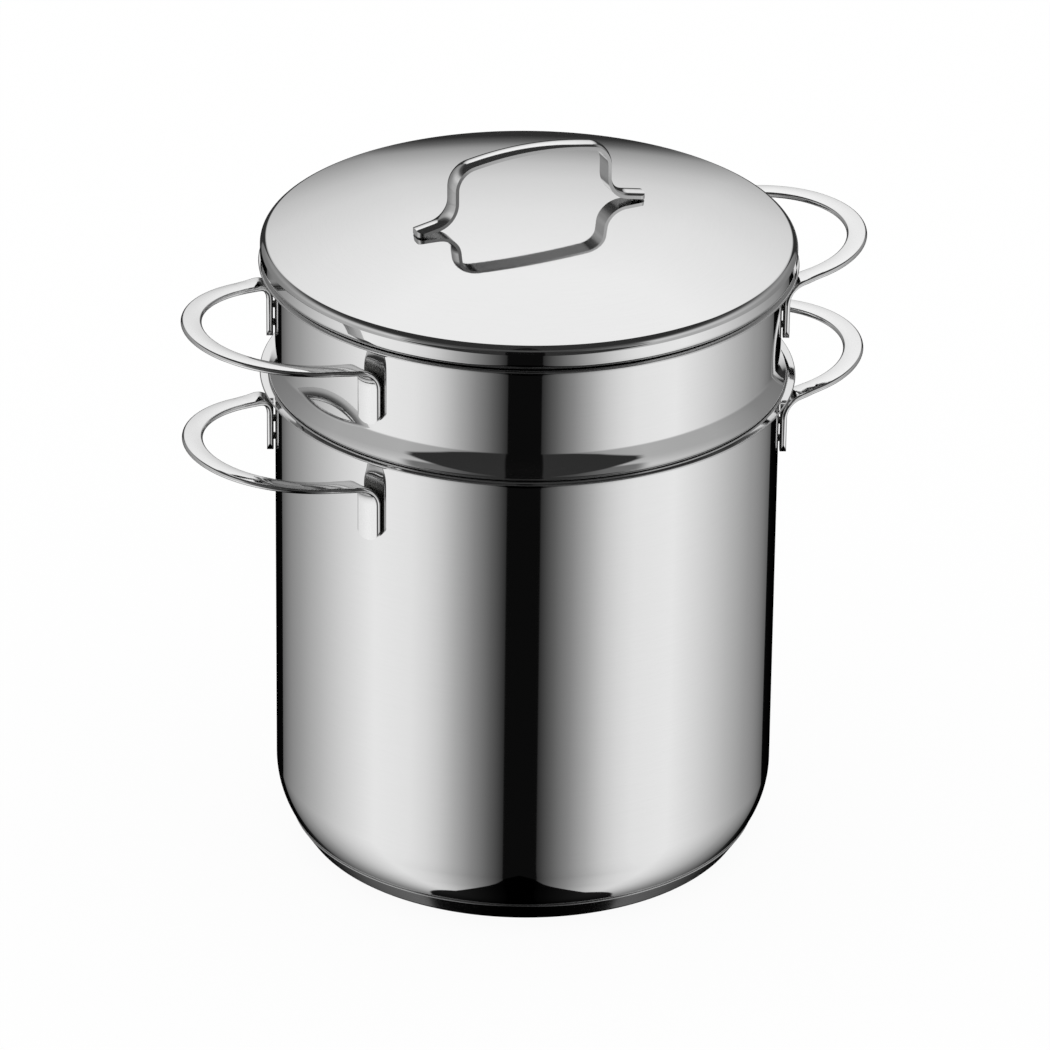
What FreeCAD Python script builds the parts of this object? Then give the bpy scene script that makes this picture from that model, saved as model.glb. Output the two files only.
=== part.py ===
"""A pasta pot: a tall drawn pot on a capped base, a perforated insert that hangs in it by a rolled bead,
and a domed lid that rests on the insert's lip. All handles are bent from flat strap and spot-welded on.

Millimetres, +Z up. The origin is the middle of the base's underside and the handles lie along X.
"""
import FreeCAD, Part
import Sketcher
import math
import os

from FreeCAD import Placement, Rotation, Vector

# Every driving size, in millimetres or degrees, with what it measures. A formula takes its size from others.
SIZES = [
    ("sheet_gauge", 0.8, "steel sheet of the pot, insert and lid"),
    ("edge_round", 0.35, "rounding of each cut edge of the sheet"),
    ("seat_clearance", 0.1, "play left where one piece rests on another"),
    ("flare_radius", 3.5, "under the flared lips of the pot and insert"),
    ("pot_radius", 90.8, "outside of the pot's wall"),
    ("pot_height", 182.2, "top of the pot's lip"),
    ("pot_lip_overhang", 5.5, "how far the pot's lip reaches past its wall"),
    ("pot_lip_radius", "=pot_radius + pot_lip_overhang", "edge of the pot's lip"),
    ("pot_corner", 33.5, "large bend between wall and base"),
    ("base_bend", 7.0, "small bend under the cap"),
    ("seam_height", 8.66, "where the two bends and the cap's edge meet"),
    ("base_height", 5.54, "underside of the pot's floor"),
    ("cap_gauge", 0.5, "sheet of the base cap"),
    ("cap_edge", 4.57, "rounded lower edge of the cap"),
    ("core_rim", 1.7, "how far the aluminium disc rises past the pot's floor"),
    ("collar_rise", 43.4, "top of the insert's lip above the pot's lip"),
    ("collar_overhang", 0.3, "how far the insert's lip reaches past the pot's"),
    ("collar_lip_radius", "=pot_lip_radius + collar_overhang", "edge of the insert's lip"),
    ("bead_hollow", 20.0, "hollow above the stop bead"),
    ("bead_nose", 1.3, "rounded nose of the stop bead"),
    ("bead_overhang", 2.1, "how far the stop bead reaches past the pot's wall"),
    ("bead_reach", "=pot_radius + bead_overhang", "outermost point of the stop bead"),
    ("bead_return", 1.5, "hollow below the stop bead"),
    ("basket_clearance", 1.7, "between the basket and the pot's wall"),
    ("basket_radius", "=pot_radius - sheet_gauge - basket_clearance", "outside of the basket"),
    ("basket_floor", 34.0, "underside of the basket's floor"),
    ("basket_corner", 12.0, "bend between the basket's wall and floor"),
    ("hole_diameter", 7.0, "draining holes"),
    ("wall_hole_rise", 24.0, "lowest ring of wall holes above the basket's floor"),
    ("wall_hole_pitch", 16.0, "height between rings of wall holes"),
    ("floor_hole_pitch", 22.0, "radius between rings of floor holes"),
    ("lid_inset", 0.6, "how far the lid's skirt stays inside the edge of the insert's lip"),
    ("lid_radius", "=collar_lip_radius - lid_inset", "outside of the lid's skirt"),
    ("dome_radius", 480.0, "sphere of the dome"),
    ("lid_bend", 3.0, "bends at the top and foot of the skirt"),
    ("skirt_height", 3.1, "straight part of the skirt"),
    ("neck_clearance", 0.9, "between the lid's neck and the collar"),
    ("neck_bend", 1.5, "hollow at the top of the neck"),
    ("neck_depth", 5.6, "how far the neck reaches below the insert's lip"),
    ("strap_width", 7.4, "strap of the four side handles in the loop"),
    ("leg_width", 9.6, "the same strap, widened in its legs"),
    ("strap_thickness", 2.0, "the strap beside its rounded edges"),
    ("strap_crown", 0.2, "how far each of its faces is crowned"),
    ("strap_round", 0.9, "how far each of its edges is rounded"),
    ("handle_overhang", 41.6, "how far a loop reaches past the pot's wall"),
    ("handle_reach", "=pot_radius + handle_overhang", "from the pot's axis to a loop's outer edge"),
    ("loop_radius", 38.8, "middle of the strap round a loop"),
    ("loop_rise", 4.1, "degrees that a loop rises outward"),
    ("leg_gap", 0.6, "between a leg and the wall"),
    ("leg_splay", 2.08344, "how much wider the legs stand than the loop"),
    ("leg_spread", "=loop_radius + leg_splay", "from the handle's middle line to a leg's"),
    ("leg_turn", "=asin(leg_spread / (pot_radius + leg_gap + strap_thickness / 2 + strap_crown)) / 1 deg",
     "degrees between a leg and its handle's middle"),
    ("leg_bend", 6.6, "middle of the strap where it turns down"),
    ("leg_length", 20.4, "from the corner of the strap's middle to the leg's end"),
    ("leg_end", 4.2, "rounded lower corners of a leg"),
    ("pot_handle_drop", 11.7, "corner of the strap's middle below the pot's lip"),
    ("insert_handle_drop", 9.9, "corner of the strap's middle below the insert's lip"),
    ("nub_radius", 1.3, "weld nubs"),
    ("nub_sink", 0.6, "how deep a weld nub joins its strap"),
    ("lower_nub", 4.8, "from the leg's end to the lower nub"),
    ("upper_nub", 11.8, "from the leg's end to the upper nub"),
    ("bridge_width", 7.4, "strap of the lid's handle"),
    ("bridge_edge", 1.3, "its thickness at the edges"),
    ("bridge_crown", 1.0, "how far its outer face is crowned"),
    ("bridge_rise", 23.4, "underside of the bridge above the dome's top"),
    ("bridge_arch", 120.0, "underside of the gently arched bridge"),
    ("bridge_corner", 7.5, "underside of its corners"),
    ("bridge_span", 58.2, "inside, between its two legs"),
    ("foot_bend", 9.5, "underside of the bend at each foot"),
    ("foot_slope", 11.5, "degrees that each foot falls outward"),
    ("foot_reach", 44.4, "from the lid's middle to a foot's tip"),
    ("foot_end", 2.2, "rounded corners of a foot"),
    ("foot_gap", 0.45, "from a foot's tip down to the dome"),
    ("foot_nub_inset", 3.0, "from a foot's tip to its weld nub"),
    ("lid_turn", -2.5, "degrees that the lid lies turned"),
]

# Draining holes: how many in each ring, from the lowest in the wall up and from the floor's middle out.
WALL_RINGS = (12, 12, 12)
FLOOR_RINGS = (6, 12, 18)

UP = Vector(0, 0, 1)
FULL_TURN = 360
START, END, CENTRE = range(1, 4)
ORIGIN = (-1, START)
SWEEP_STATIONS = 9
MOST_ROUNDING = 0.45
SAME_SIZE = 1e-4
PIECES = []

doc = FreeCAD.newDocument("PastaPot")
sheet = doc.addObject("Spreadsheet::Sheet", "sizes")
for row, (alias, value, meaning) in enumerate(SIZES, start=1):
    sheet.set(f"A{row}", alias)
    sheet.set(f"B{row}", str(value))
    sheet.set(f"C{row}", meaning)
    sheet.setAlias(f"B{row}", alias)
doc.recompute()


def size(alias):
    """The sheet's value for one driving size."""
    return float(sheet.get(alias))


def turned(degrees):
    """The direction at an angle from a plane's first axis."""
    return Vector(math.cos(math.radians(degrees)), math.sin(math.radians(degrees)), 0)


def sine(degrees):
    return math.sin(math.radians(degrees))


def cosine(degrees):
    return math.cos(math.radians(degrees))


class Outline:
    """Tangent lines and arcs drawn in a sketch from a start point and a heading, with their sizes bound."""

    def __init__(self, sketch, start, heading):
        self.sketch = sketch
        self.point = start
        self.heading = heading
        self.tail = None

    def _join(self, curve, first, last):
        index = self.sketch.addGeometry(curve)
        if self.tail:
            self.sketch.addConstraint(Sketcher.Constraint("Tangent", *self.tail, index, first))
        self.tail = (index, last)
        return index

    def line(self, length, direction=None):
        """A straight stretch; direction is Horizontal or Vertical where the sketch has to hold it."""
        end = self.point + turned(self.heading) * length
        index = self._join(Part.LineSegment(self.point, end), START, END)
        if direction:
            self.sketch.addConstraint(Sketcher.Constraint(direction, index))
        self.point = end
        return index

    def arc(self, radius, turn, formula):
        """A bend of a radius; a positive turn, in degrees, goes left."""
        side = math.copysign(90, turn)
        first = self.heading - side
        last = first + turn
        centre = self.point + turned(self.heading + side) * radius
        low, high = sorted((math.radians(first), math.radians(last)))
        curve = Part.ArcOfCircle(Part.Circle(centre, UP, radius), low, high)
        ends = (START, END) if turn > 0 else (END, START)
        index = self._join(curve, *ends)
        self.bind(formula, "Radius", index, radius)
        self.point = centre + turned(last) * radius
        self.heading += turn
        return index

    def bind(self, formula, *constraint):
        """Adds a constraint and ties it to the sheet."""
        index = self.sketch.addConstraint(Sketcher.Constraint(*constraint))
        if formula:
            self.sketch.setExpression(f"Constraints[{index}]", formula)

    def across(self, formula, index, end, value):
        """Holds a point's distance from the axis."""
        self.bind(formula, "DistanceX", *ORIGIN, index, end, value)

    def level(self, formula, index, end, value):
        """Holds a point's height."""
        self.bind(formula, "DistanceY", *ORIGIN, index, end, value)


def section_sketch(name):
    """A sketch in the plane of X and Z, outside any body."""
    sketch = doc.addObject("Sketcher::SketchObject", name)
    sketch.Placement = Placement(Vector(0, 0, 0), Rotation(Vector(1, 0, 0), 90))
    return sketch


def sheet_of_revolution(name, sketch, gauge, lip_radius=None):
    """The sheet of one gauge inside a drawn face, spun about Z, with the edges of its lip rounded."""
    strip = doc.addObject("Part::Offset2D", name + "_strip")
    strip.Source = sketch
    strip.Mode = "Skin"
    strip.Fill = True
    strip.setExpression("Value", f"sizes.{gauge}")
    spun = doc.addObject("Part::Revolution", name + "_spun")
    spun.Source = strip
    spun.Axis = UP
    spun.Angle = FULL_TURN
    spun.Solid = True
    if lip_radius is None:
        return spun
    doc.recompute()
    rounding = min(size("edge_round"), MOST_ROUNDING * size(gauge))
    rounded = doc.addObject("Part::Fillet", name)
    rounded.Base = spun
    rounded.Edges = [(number, rounding, rounding) for number, edge in enumerate(spun.Shape.Edges, start=1)
                     if is_circle(edge) and abs(edge.Curve.Radius - lip_radius) < SAME_SIZE]
    return rounded


def is_circle(edge):
    return not edge.Degenerated and isinstance(edge.Curve, Part.Circle)


def set_piece(piece, label):
    """Gives a finished piece the name that its file takes."""
    piece.Label = label
    PIECES.append(piece)


# The pot's section: floor, small bend, large bend, wall, flare and flat rim.
BEND_FORMULA = "asin((sizes.base_height - sizes.seam_height + sizes.base_bend) / sizes.base_bend)"
base_bend = size("base_bend")
pot_corner = size("pot_corner")
seam_height = size("seam_height")
seam_turn = math.degrees(math.asin((size("base_height") - seam_height + base_bend) / base_bend))
seam_radius = size("pot_radius") - pot_corner * (1 - cosine(seam_turn))
floor_radius = seam_radius - base_bend * cosine(seam_turn)
wall_foot = seam_height + pot_corner * sine(seam_turn)
rim_underside = size("pot_height") - size("sheet_gauge")
flare_radius = size("flare_radius")


def pot_shell():
    sketch = section_sketch("pot_face")
    face = Outline(sketch, Vector(0, size("base_height"), 0), 0)
    floor = face.line(floor_radius, "Horizontal")
    small = face.arc(base_bend, 90 - seam_turn, "sizes.base_bend")
    face.arc(pot_corner, seam_turn, "sizes.pot_corner")
    wall = face.line(rim_underside - flare_radius - wall_foot, "Vertical")
    face.arc(flare_radius, -90, "sizes.flare_radius")
    rim = face.line(size("pot_lip_radius") - size("pot_radius") - flare_radius, "Horizontal")
    face.across(None, floor, START, 0)
    face.level("sizes.base_height", floor, START, size("base_height"))
    face.level("sizes.seam_height", small, END, seam_height)
    face.across("sizes.pot_radius", wall, START, size("pot_radius"))
    face.level("sizes.pot_height - sizes.sheet_gauge", rim, END, rim_underside)
    face.across("sizes.pot_lip_radius", rim, END, size("pot_lip_radius"))
    set_piece(sheet_of_revolution("pot_sheet", sketch, "sheet_gauge", size("pot_lip_radius")), "pot_shell")


def base_cap():
    """The cap hugs the disc, and its edge lies on the pot's wall at the seam."""
    side_slope = 90 - seam_turn
    cap_gauge = size("cap_gauge")
    cap_edge = size("cap_edge")
    edge_radius = seam_radius + cap_gauge * cosine(seam_turn)
    edge_height = seam_height - cap_gauge * sine(seam_turn)
    side_foot = cap_edge * (1 - cosine(side_slope))
    side_length = (edge_height - side_foot) / sine(side_slope)
    flat_radius = edge_radius - side_length * cosine(side_slope) - cap_edge * sine(side_slope)
    sketch = section_sketch("cap_face")
    face = Outline(sketch, Vector(0, 0, 0), 0)
    flat = face.line(flat_radius, "Horizontal")
    face.arc(cap_edge, side_slope, "sizes.cap_edge")
    side = face.line(side_length)
    face.across(None, flat, START, 0)
    face.level(None, flat, START, 0)
    face.bind("90 deg - " + BEND_FORMULA, "Angle", side, math.radians(side_slope))
    face.level(f"sizes.seam_height - sizes.cap_gauge * sin({BEND_FORMULA})", side, END, edge_height)
    face.across(f"sizes.pot_radius - sizes.pot_corner + (sizes.pot_corner + sizes.cap_gauge)"
                f" * cos({BEND_FORMULA})", side, END, edge_radius)
    set_piece(sheet_of_revolution("cap_sheet", sketch, "cap_gauge"), "base_cap")
    return flat_radius


def base_core(flat_radius):
    """The aluminium disc that fills the cap up to the pot's floor and a little way round its small bend."""
    side_slope = 90 - seam_turn
    inner_edge = size("cap_edge") - size("cap_gauge")
    bottom = size("cap_gauge")
    top = size("base_height") + size("core_rim")
    side_foot = bottom + inner_edge * (1 - cosine(side_slope))
    bend_height = size("base_height") + base_bend
    hollow_radius = floor_radius + math.sqrt(base_bend ** 2 - (bend_height - top) ** 2)
    hollow_turn = math.degrees(math.acos((bend_height - top) / base_bend))
    body = doc.addObject("PartDesign::Body", "core_body")
    sketch = body.newObject("Sketcher::SketchObject", "core_section")
    plane = next(each for each in body.Origin.OriginFeatures if each.Role == "XZ_Plane")
    sketch.AttachmentSupport = (plane, "")
    sketch.MapMode = "FlatFace"
    face = Outline(sketch, Vector(0, bottom, 0), 0)
    under = face.line(flat_radius, "Horizontal")
    face.arc(inner_edge, side_slope, "sizes.cap_edge - sizes.cap_gauge")
    side = face.line((top - side_foot) / sine(side_slope))
    side_end = face.point
    hollow_start = Vector(hollow_radius, top, 0)
    corner = sketch.addGeometry(Part.LineSegment(side_end, hollow_start))
    hollow_circle = Part.Circle(Vector(floor_radius, bend_height, 0), UP, base_bend)
    low = math.radians(-90)
    hollow = sketch.addGeometry(Part.ArcOfCircle(hollow_circle, low, low + math.radians(hollow_turn)))
    upper = sketch.addGeometry(Part.LineSegment(Vector(floor_radius, size("base_height"), 0),
                                                Vector(0, size("base_height"), 0)))
    axis = sketch.addGeometry(Part.LineSegment(Vector(0, size("base_height"), 0), Vector(0, bottom, 0)))
    for one, other in (((side, END), (corner, START)), ((corner, END), (hollow, END)),
                       ((upper, END), (axis, START)), ((axis, END), (under, START))):
        sketch.addConstraint(Sketcher.Constraint("Coincident", *one, *other))
    sketch.addConstraint(Sketcher.Constraint("Tangent", hollow, START, upper, START))
    sketch.addConstraint(Sketcher.Constraint("Horizontal", corner))
    sketch.addConstraint(Sketcher.Constraint("Horizontal", upper))
    face.bind("sizes.base_bend", "Radius", hollow, base_bend)
    face.bind("90 deg - " + BEND_FORMULA, "Angle", side, math.radians(side_slope))
    face.across(None, under, START, 0)
    face.level("sizes.cap_gauge", under, START, bottom)
    face.across(None, axis, START, 0)
    face.level("sizes.base_height", axis, START, size("base_height"))
    face.level("sizes.base_height + sizes.core_rim", side, END, top)
    spun = body.newObject("PartDesign::Revolution", "core_spun")
    spun.Profile = sketch
    spun.ReferenceAxis = (sketch, ["V_Axis"])
    spun.Angle = FULL_TURN
    set_piece(body, "base_core")


# The insert's section: the bead's nose touches the free side of the pot's flare, less the play.
pot_flare_centre = Vector(size("pot_radius") + flare_radius, rim_underside - flare_radius, 0)
bead_nose = size("bead_nose")
seat_distance = flare_radius + size("sheet_gauge") + size("seat_clearance") + bead_nose
nose_radius = size("bead_reach") - bead_nose
nose_height = pot_flare_centre.y + math.sqrt(seat_distance ** 2 - (pot_flare_centre.x - nose_radius) ** 2)
seat_slope = math.degrees(math.acos((nose_height - pot_flare_centre.y) / seat_distance))
collar_top = size("pot_height") + size("collar_rise")


def insert_sheet():
    gauge = size("sheet_gauge")
    hollow = size("bead_hollow")
    back = size("bead_return")
    basket_radius = size("basket_radius")
    basket_corner = size("basket_corner")
    basket_floor = size("basket_floor")
    hollow_centre = size("pot_radius") + hollow
    hollow_turn = math.degrees(math.acos((hollow_centre - nose_radius) / (hollow + bead_nose)))
    hollow_top = nose_height + (hollow + bead_nose) * sine(hollow_turn)
    away = Vector(sine(seat_slope), -cosine(seat_slope), 0)
    touch = Vector(nose_radius, nose_height, 0) + away * bead_nose
    back_radius = basket_radius + back
    back_height = touch.y + ((back_radius - touch.x) * away.x - back) / -away.y
    slope_foot = Vector(back_radius, back_height, 0) - away * back
    underside = collar_top - gauge
    sketch = section_sketch("insert_face")
    face = Outline(sketch, Vector(0, basket_floor, 0), 0)
    floor = face.line(basket_radius - basket_corner, "Horizontal")
    face.arc(basket_corner, 90, "sizes.basket_corner")
    wall = face.line(back_height - basket_floor - basket_corner, "Vertical")
    face.arc(back, seat_slope - 90, "sizes.bead_return")
    slope = face.line((touch - slope_foot).Length)
    nose = face.arc(bead_nose, 90 + hollow_turn - seat_slope, "sizes.bead_nose")
    face.arc(hollow, -hollow_turn, "sizes.bead_hollow")
    collar = face.line(underside - flare_radius - hollow_top, "Vertical")
    face.arc(flare_radius, -90, "sizes.flare_radius")
    rim = face.line(size("collar_lip_radius") - size("pot_radius") - flare_radius, "Horizontal")
    face.across(None, floor, START, 0)
    face.level("sizes.basket_floor", floor, START, basket_floor)
    face.across("sizes.basket_radius", wall, START, basket_radius)
    face.across("sizes.bead_reach - sizes.bead_nose", nose, CENTRE, nose_radius)
    face.level(None, nose, CENTRE, nose_height)
    face.bind(None, "Angle", slope, math.radians(seat_slope))
    face.across("sizes.pot_radius", collar, START, size("pot_radius"))
    face.level("sizes.pot_height + sizes.collar_rise - sizes.sheet_gauge", rim, END, underside)
    face.across("sizes.collar_lip_radius", rim, END, size("collar_lip_radius"))
    return sheet_of_revolution("insert_sheet", sketch, "sheet_gauge", size("collar_lip_radius"))


def ring_of_holes(body, name, plane_role, centre, count, first_turn, reach):
    """One round hole, cut through from the body's middle and repeated about Z."""
    sketch = body.newObject("Sketcher::SketchObject", name + "_circle")
    plane = next(each for each in body.Origin.OriginFeatures if each.Role == plane_role)
    sketch.AttachmentSupport = (plane, "")
    sketch.MapMode = "FlatFace"
    if plane_role == "XZ_Plane":
        sketch.AttachmentOffset = Placement(Vector(0, 0, 0), Rotation(Vector(0, 1, 0), first_turn))
    circle = sketch.addGeometry(Part.Circle(centre, UP, size("hole_diameter") / 2))
    index = sketch.addConstraint(Sketcher.Constraint("Diameter", circle, size("hole_diameter")))
    sketch.setExpression(f"Constraints[{index}]", "sizes.hole_diameter")
    pocket = body.newObject("PartDesign::Pocket", name)
    pocket.Profile = sketch
    pocket.Type = "Length"
    pocket.Length = reach
    pocket.Reversed = True
    doc.recompute()
    if count > 1:
        ring = body.newObject("PartDesign::PolarPattern", name + "_ring")
        ring.Originals = [pocket]
        ring.Axis = (next(each for each in body.Origin.OriginFeatures if each.Role == "Z_Axis"), [""])
        ring.Angle = FULL_TURN
        ring.Occurrences = count
        body.Tip = ring
        doc.recompute()


def insert_shell():
    """The sheet with its draining holes: staggered rings in the basket's wall and rings in its floor."""
    wall_reach = size("basket_radius") + size("sheet_gauge")
    floor_reach = size("basket_floor") + 2 * size("sheet_gauge")
    sheet_piece = insert_sheet()
    doc.recompute()
    body = doc.addObject("PartDesign::Body", "insert_body")
    body.BaseFeature = sheet_piece
    doc.recompute()
    for number, count in enumerate(WALL_RINGS):
        height = size("basket_floor") + size("wall_hole_rise") + number * size("wall_hole_pitch")
        stagger = number % 2 * FULL_TURN / count / 2
        ring_of_holes(body, f"wall_hole_{number + 1}", "XZ_Plane", Vector(0, height, 0), count, stagger,
                      wall_reach)
    ring_of_holes(body, "floor_hole_0", "XY_Plane", Vector(0, 0, 0), 1, 0, floor_reach)
    for number, count in enumerate(FLOOR_RINGS, start=1):
        centre = Vector(number * size("floor_hole_pitch"), 0, 0)
        ring_of_holes(body, f"floor_hole_{number}", "XY_Plane", centre, count, 0, floor_reach)
    set_piece(body, "insert_shell")


# The lid's section, from the top of its dome out, over the skirt and in to the neck.
lid_bend = size("lid_bend")
shoulder_radius = size("lid_radius") - lid_bend
dome_turn = math.degrees(math.asin(shoulder_radius / (size("dome_radius") - lid_bend)))
# The lid's lower bend rests on the rounded shoulder of the insert's lip, or on its flat rim where it is wider.
lip_bend_radius = size("pot_radius") + flare_radius
lip_bend_height = collar_top - size("sheet_gauge") - flare_radius
seat_reach = flare_radius + size("sheet_gauge") + size("seat_clearance") + lid_bend
lid_seat = (lip_bend_height - lid_bend
            + math.sqrt(seat_reach ** 2 - max(0, lip_bend_radius - shoulder_radius) ** 2))
shoulder_height = lid_seat + lid_bend + size("skirt_height")
dome_centre = shoulder_height - (size("dome_radius") - lid_bend) * cosine(dome_turn)
dome_top = dome_centre + size("dome_radius")


def lid_shell():
    neck_radius = size("pot_radius") - size("sheet_gauge") - size("neck_clearance")
    neck_bend = size("neck_bend")
    neck_foot = collar_top - size("neck_depth")
    sketch = section_sketch("lid_face")
    face = Outline(sketch, Vector(0, dome_top, 0), 0)
    dome = face.arc(size("dome_radius"), -dome_turn, "sizes.dome_radius")
    face.arc(lid_bend, dome_turn - 90, "sizes.lid_bend")
    skirt = face.line(size("skirt_height"), "Vertical")
    face.arc(lid_bend, -90, "sizes.lid_bend")
    seat = face.line(shoulder_radius - neck_radius - neck_bend, "Horizontal")
    face.arc(neck_bend, 90, "sizes.neck_bend")
    neck = face.line(lid_seat - neck_bend - neck_foot, "Vertical")
    face.across(None, dome, END, 0)
    face.across(None, dome, CENTRE, 0)
    face.across("sizes.lid_radius", skirt, START, size("lid_radius"))
    face.bind("sizes.skirt_height", "DistanceY", skirt, END, skirt, START, size("skirt_height"))
    face.level(None, seat, START, lid_seat)
    face.across("sizes.pot_radius - sizes.sheet_gauge - sizes.neck_clearance", neck, START, neck_radius)
    face.level("sizes.pot_height + sizes.collar_rise - sizes.neck_depth", neck, END, neck_foot)
    set_piece(sheet_of_revolution("lid_sheet", sketch, "sheet_gauge"), "lid_shell")


def lid_handle():
    """A strap along one path in the plane of X and Z, from foot to foot, with a weld nub under each foot."""
    slope = size("foot_slope")
    half_span = size("bridge_span") / 2
    foot_bend = size("foot_bend")
    corner = size("bridge_corner")
    arch = size("bridge_arch")
    reach = size("foot_reach")
    arch_turn = math.degrees(math.asin((half_span - corner) / (arch - corner)))
    arch_centre = dome_top + size("bridge_rise") - arch
    corner_height = arch_centre + (arch - corner) * cosine(arch_turn)
    tip_height = dome_centre + math.sqrt(size("dome_radius") ** 2 - reach ** 2) + size("foot_gap")
    foot_run = reach - half_span - foot_bend * (1 - sine(slope))
    leg_foot = tip_height + foot_run * math.tan(math.radians(slope)) + foot_bend * cosine(slope)

    body = doc.addObject("PartDesign::Body", "bridge_body")
    plane = {each.Role: each for each in body.Origin.OriginFeatures}
    path = body.newObject("Sketcher::SketchObject", "bridge_path")
    path.AttachmentSupport = (plane["XZ_Plane"], "")
    path.MapMode = "FlatFace"
    line = Outline(path, Vector(-reach, tip_height, 0), slope)
    first_foot = line.line(foot_run / cosine(slope))
    line.arc(foot_bend, 90 - slope, "sizes.foot_bend")
    first_leg = line.line(corner_height - leg_foot, "Vertical")
    line.arc(corner, arch_turn - 90, "sizes.bridge_corner")
    top = line.arc(arch, -2 * arch_turn, "sizes.bridge_arch")
    line.arc(corner, arch_turn - 90, "sizes.bridge_corner")
    second_leg = line.line(corner_height - leg_foot, "Vertical")
    line.arc(foot_bend, 90 - slope, "sizes.foot_bend")
    second_foot = line.line(foot_run / cosine(slope))
    line.bind("sizes.foot_slope * 1 deg", "Angle", first_foot, math.radians(slope))
    line.across(None, top, CENTRE, 0)
    line.level(None, top, CENTRE, arch_centre)
    line.bind("sizes.bridge_span", "DistanceX", first_leg, START, second_leg, START, 2 * half_span)
    line.level(None, first_foot, START, tip_height)
    line.bind("2 * sizes.foot_reach", "DistanceX", first_foot, START, second_foot, END, 2 * reach)

    half_width = size("bridge_width") / 2
    edge = size("bridge_edge")
    crown_top = edge + size("bridge_crown")
    profile = body.newObject("Sketcher::SketchObject", "bridge_section")
    profile.AttachmentSupport = (plane["YZ_Plane"], "")
    profile.MapMode = "FlatFace"
    profile.AttachmentOffset = Placement(Vector(0, tip_height, -reach), Rotation(Vector(1, 0, 0), -slope))
    corners = [Vector(-half_width, edge, 0), Vector(-half_width, 0, 0), Vector(half_width, 0, 0),
               Vector(half_width, edge, 0)]
    for start, end in zip(corners, corners[1:]):
        profile.addGeometry(Part.LineSegment(start, end))
    crown = Part.Arc(corners[3], Vector(0, crown_top, 0), corners[0])
    profile.addGeometry(crown)

    strap = body.newObject("PartDesign::AdditivePipe", "bridge_strap")
    strap.Profile = profile
    strap.Spine = (path, [f"Edge{number + 1}" for number in range(len(path.Geometry))])
    strap.Mode = "Standard"
    doc.recompute()

    block = doc.addObject("Part::Box", "feet_block")
    block.setExpression("Length", "2 * sizes.foot_reach")
    block.setExpression("Width", "sizes.bridge_width")
    block.setExpression("Height", "2 * sizes.bridge_rise")
    block.Placement = Placement(Vector(-reach, -half_width, tip_height - size("foot_end")), Rotation())
    doc.recompute()
    feet = doc.addObject("Part::Fillet", "feet_outline")
    feet.Base = block
    feet.Edges = [(number, size("foot_end"), size("foot_end"))
                  for number, edge in enumerate(block.Shape.Edges, start=1) if edge.tangentAt(0).cross(UP).Length == 0]
    rounded_strap = doc.addObject("Part::Common", "bridge_rounded")
    rounded_strap.Base = body
    rounded_strap.Tool = feet

    pieces = [rounded_strap]
    for name, side in (("first_foot_nub", -1), ("second_foot_nub", 1)):
        nub = doc.addObject("Part::Cylinder", name)
        nub.setExpression("Radius", "sizes.nub_radius")
        inset = size("foot_nub_inset")
        rise = size("foot_gap") + inset * math.tan(math.radians(slope)) + size("nub_sink")
        nub.Height = 2 * rise
        nub.Placement = Placement(Vector(side * (reach - inset), 0, tip_height - size("foot_gap") - rise),
                                  Rotation())
        pieces.append(nub)
    welded = doc.addObject("Part::MultiFuse", "bridge_welded")
    welded.Shapes = pieces
    dome = doc.addObject("Part::Sphere", "dome_sphere")
    dome.setExpression("Radius", "sizes.dome_radius")
    dome.Placement = Placement(Vector(0, 0, dome_centre), Rotation())
    handle = doc.addObject("Part::Cut", "bridge")
    handle.Base = welded
    handle.Tool = dome
    handle.Placement = Placement(Vector(0, 0, 0), Rotation(UP, size("lid_turn")))
    set_piece(handle, "lid_handle")


def strap_section(middle, across, outward, width):
    """The strap's section: two rounded edges and two crowned faces."""
    half = across * (width / 2)
    shoulder = across * (width / 2 - size("strap_round"))
    side = outward * (size("strap_thickness") / 2)
    crown = outward * (size("strap_thickness") / 2 + size("strap_crown"))
    left_low, left_high = middle - shoulder - side, middle - shoulder + side
    right_low, right_high = middle + shoulder - side, middle + shoulder + side
    return Part.Wire([
        Part.Arc(left_low, middle - half, left_high).toShape(),
        Part.Arc(left_high, middle + crown, right_high).toShape(),
        Part.Arc(right_high, middle + half, right_low).toShape(),
        Part.Arc(right_low, middle - crown, left_low).toShape(),
    ])


def leg_outline(top, across, normal, length):
    """A slab that gives a leg its rounded lower end: its outline, extruded through the strap."""
    half = across * (size("leg_width") / 2)
    radius = size("leg_end")
    depth = normal * (size("strap_thickness") + 2 * size("strap_crown"))
    low = UP * -length
    inward = across * radius
    rise = UP * radius
    diagonal = radius * (1 - cosine(45))
    corners = [top - half, top - half + low + rise, top - half + low + inward,
               top + half + low - inward, top + half + low + rise, top + half]
    left_middle = top - half + low + across * diagonal + UP * diagonal
    right_middle = top + half + low - across * diagonal + UP * diagonal
    wire = Part.Wire([
        Part.LineSegment(corners[0], corners[1]).toShape(),
        Part.Arc(corners[1], left_middle, corners[2]).toShape(),
        Part.LineSegment(corners[2], corners[3]).toShape(),
        Part.Arc(corners[3], right_middle, corners[4]).toShape(),
        Part.LineSegment(corners[4], corners[5]).toShape(),
        Part.LineSegment(corners[5], corners[0]).toShape(),
    ])
    wire.translate(depth * -1)
    return Part.Face(wire).extrude(depth * 2)


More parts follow.
